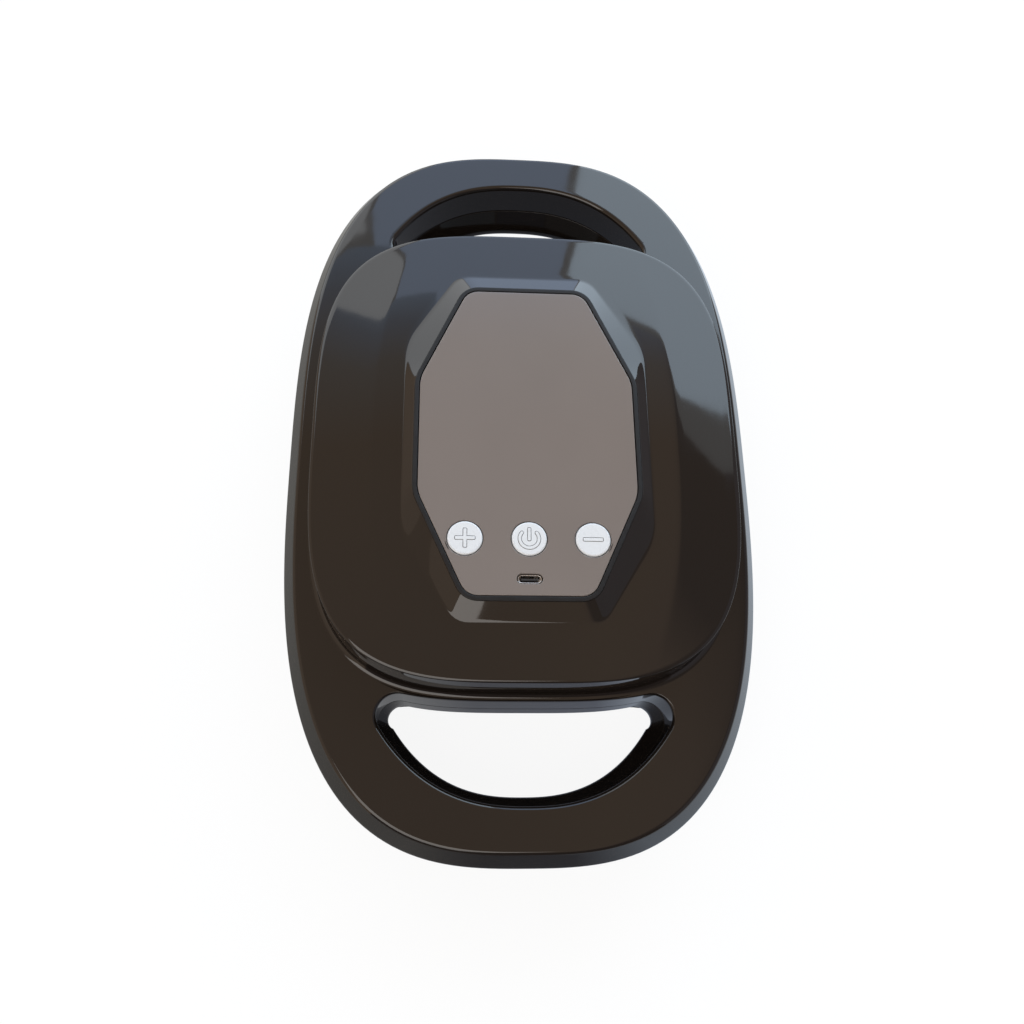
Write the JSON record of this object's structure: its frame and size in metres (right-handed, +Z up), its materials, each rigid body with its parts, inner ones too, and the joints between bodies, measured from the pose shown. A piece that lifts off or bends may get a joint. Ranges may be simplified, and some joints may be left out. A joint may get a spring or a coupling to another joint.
{
  "type": "electric body massager",
  "caption": "Two-handed powered massager: long oval body with a finger hole at each end, a raised housing with a glossy button panel, and driven ball rollers underneath.",
  "frame": {"origin": "under the middle of the body, on the surface that the rollers stand on", "axes": "+Y along the body away from the charging socket, +Z up out of the control panel, +X to the right"},
  "size_m": [0.1912, 0.3154, 0.0785],
  "materials": {
    "shell": "high gloss",
    "panel": "tinted, high gloss",
    "button": "satin",
    "wood": "turned and oiled",
    "steel": "bright",
    "frame": "moulded",
    "nylon": "moulded",
    "board": "solder mask",
    "cell": "heat-shrink film",
    "motor": "plated",
    "lead": "insulated lead",
    "black_plastic": "moulded"
  },
  "bodies": {
    "casing": {"upper_body": "shell", "lower_body": "shell", "top_cover": "shell", "control_panel": "panel", "motor_bracket": "steel", "battery_strap": "steel", "socket_shell": "steel", "plus_switch": "steel", "power_switch": "steel", "minus_switch": "steel", "case_screw_1": "steel", "case_screw_2": "steel", "case_screw_3": "steel", "case_screw_4": "steel", "frame_screw_1": "steel", "frame_screw_2": "steel", "frame_screw_3": "steel", "frame_screw_4": "steel", "board_screw_1": "steel", "board_screw_2": "steel", "roller_frame": "frame", "battery_tray": "frame", "bearing_strip_left": "nylon", "bearing_strip_right": "nylon", "control_board": "board", "battery_cell_1": "cell", "battery_cell_2": "cell", "motor": "motor", "gearbox": "motor", "motor_lead": "lead", "battery_lead": "lead", "socket_tongue": "black_plastic"},
    "roller_1": {"roller_1": "wood", "axle_1": "steel", "roller_gear_1": "nylon"},
    "roller_2": {"roller_2": "wood", "axle_2": "steel", "roller_gear_2": "nylon"},
    "roller_3": {"roller_3": "wood", "axle_3": "steel", "roller_gear_3": "nylon"},
    "roller_4": {"roller_4": "wood", "axle_4": "steel", "roller_gear_4": "nylon"},
    "roller_5": {"roller_5": "wood", "axle_5": "steel", "roller_gear_5": "nylon"},
    "idler_1": {"idler_gear_1": "nylon"},
    "idler_2": {"idler_gear_2": "nylon"},
    "idler_3": {"idler_gear_3": "nylon"},
    "idler_4": {"idler_gear_4": "nylon"},
    "transfer": {"transfer_gear": "nylon"},
    "pinion": {"drive_pinion": "nylon", "drive_shaft": "steel"},
    "plus_button": {"plus_button": "button", "plus_plunger": "black_plastic"},
    "power_button": {"power_button": "button", "power_plunger": "black_plastic"},
    "minus_button": {"minus_button": "button", "minus_plunger": "black_plastic"}
  },
  "joints": [
    {"name": "roller_3_spin", "type": "hinge", "parent": "casing", "child": "roller_3", "pos_m": [0, 0, 0.018], "axis": [1, 0, 0], "continuous": true},
    {"name": "roller_1_spin", "type": "hinge", "parent": "casing", "child": "roller_1", "pos_m": [0, -0.068, 0.018], "axis": [1, 0, 0], "continuous": true},
    {"name": "roller_2_spin", "type": "hinge", "parent": "casing", "child": "roller_2", "pos_m": [0, -0.034, 0.018], "axis": [1, 0, 0], "continuous": true},
    {"name": "roller_4_spin", "type": "hinge", "parent": "casing", "child": "roller_4", "pos_m": [0, 0.034, 0.018], "axis": [1, 0, 0], "continuous": true},
    {"name": "roller_5_spin", "type": "hinge", "parent": "casing", "child": "roller_5", "pos_m": [0, 0.068, 0.018], "axis": [1, 0, 0], "continuous": true},
    {"name": "idler_1_spin", "type": "hinge", "parent": "casing", "child": "idler_1", "pos_m": [0, -0.051, 0.018], "axis": [1, 0, 0], "continuous": true},
    {"name": "idler_2_spin", "type": "hinge", "parent": "casing", "child": "idler_2", "pos_m": [0, -0.017, 0.018], "axis": [1, 0, 0], "continuous": true},
    {"name": "idler_3_spin", "type": "hinge", "parent": "casing", "child": "idler_3", "pos_m": [0, 0.017, 0.018], "axis": [1, 0, 0], "continuous": true},
    {"name": "idler_4_spin", "type": "hinge", "parent": "casing", "child": "idler_4", "pos_m": [0, 0.051, 0.018], "axis": [1, 0, 0], "continuous": true},
    {"name": "transfer_spin", "type": "hinge", "parent": "casing", "child": "transfer", "pos_m": [0, 0, 0.0365], "axis": [1, 0, 0], "continuous": true},
    {"name": "pinion_spin", "type": "hinge", "parent": "casing", "child": "pinion", "pos_m": [0, 0, 0.055], "axis": [1, 0, 0], "continuous": true},
    {"name": "plus_press", "type": "slide", "parent": "casing", "child": "plus_button", "axis": [0, 0, -1], "range_m": [0, 0.0005], "stiffness_N_per_m": 300},
    {"name": "power_press", "type": "slide", "parent": "casing", "child": "power_button", "axis": [0, 0, -1], "range_m": [0, 0.0005], "stiffness_N_per_m": 300},
    {"name": "minus_press", "type": "slide", "parent": "casing", "child": "minus_button", "axis": [0, 0, -1], "range_m": [0, 0.0005], "stiffness_N_per_m": 300}
  ],
  "couplings": [
    {"joint": "roller_1_spin", "follows": "roller_3_spin", "ratio": 1},
    {"joint": "roller_2_spin", "follows": "roller_3_spin", "ratio": 1},
    {"joint": "roller_4_spin", "follows": "roller_3_spin", "ratio": 1},
    {"joint": "roller_5_spin", "follows": "roller_3_spin", "ratio": 1},
    {"joint": "idler_1_spin", "follows": "roller_3_spin", "ratio": -1},
    {"joint": "idler_2_spin", "follows": "roller_3_spin", "ratio": -1},
    {"joint": "idler_3_spin", "follows": "roller_3_spin", "ratio": -1},
    {"joint": "idler_4_spin", "follows": "roller_3_spin", "ratio": -1},
    {"joint": "transfer_spin", "follows": "roller_3_spin", "ratio": -0.85},
    {"joint": "pinion_spin", "follows": "roller_3_spin", "ratio": 1}
  ]
}
